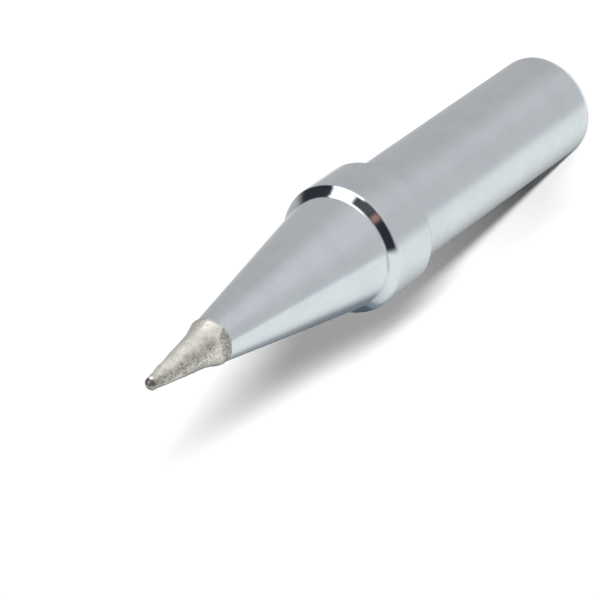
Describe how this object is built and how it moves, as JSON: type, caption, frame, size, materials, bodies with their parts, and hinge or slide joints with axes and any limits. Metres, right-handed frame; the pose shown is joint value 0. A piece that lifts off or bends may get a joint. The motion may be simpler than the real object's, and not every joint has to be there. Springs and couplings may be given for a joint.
{
  "type": "soldering iron tip",
  "caption": "Turned soldering iron tip with a bright plated barrel, collar and cone, a tinned conical point, and a blind bore in its open rear end for the heater",
  "frame": {"origin": "centre of the flat rear face, where the open end of the barrel stands on a surface", "axes": "+Z runs along the turning axis from the rear face to the working point; X and Y are free, because the part is round"},
  "size_m": [0.0076, 0.0076, 0.0407],
  "materials": {
    "plating": "satin bright plating"
  },
  "bodies": {
    "root": {"soldering_tip": "plating"}
  },
  "joints": []
}
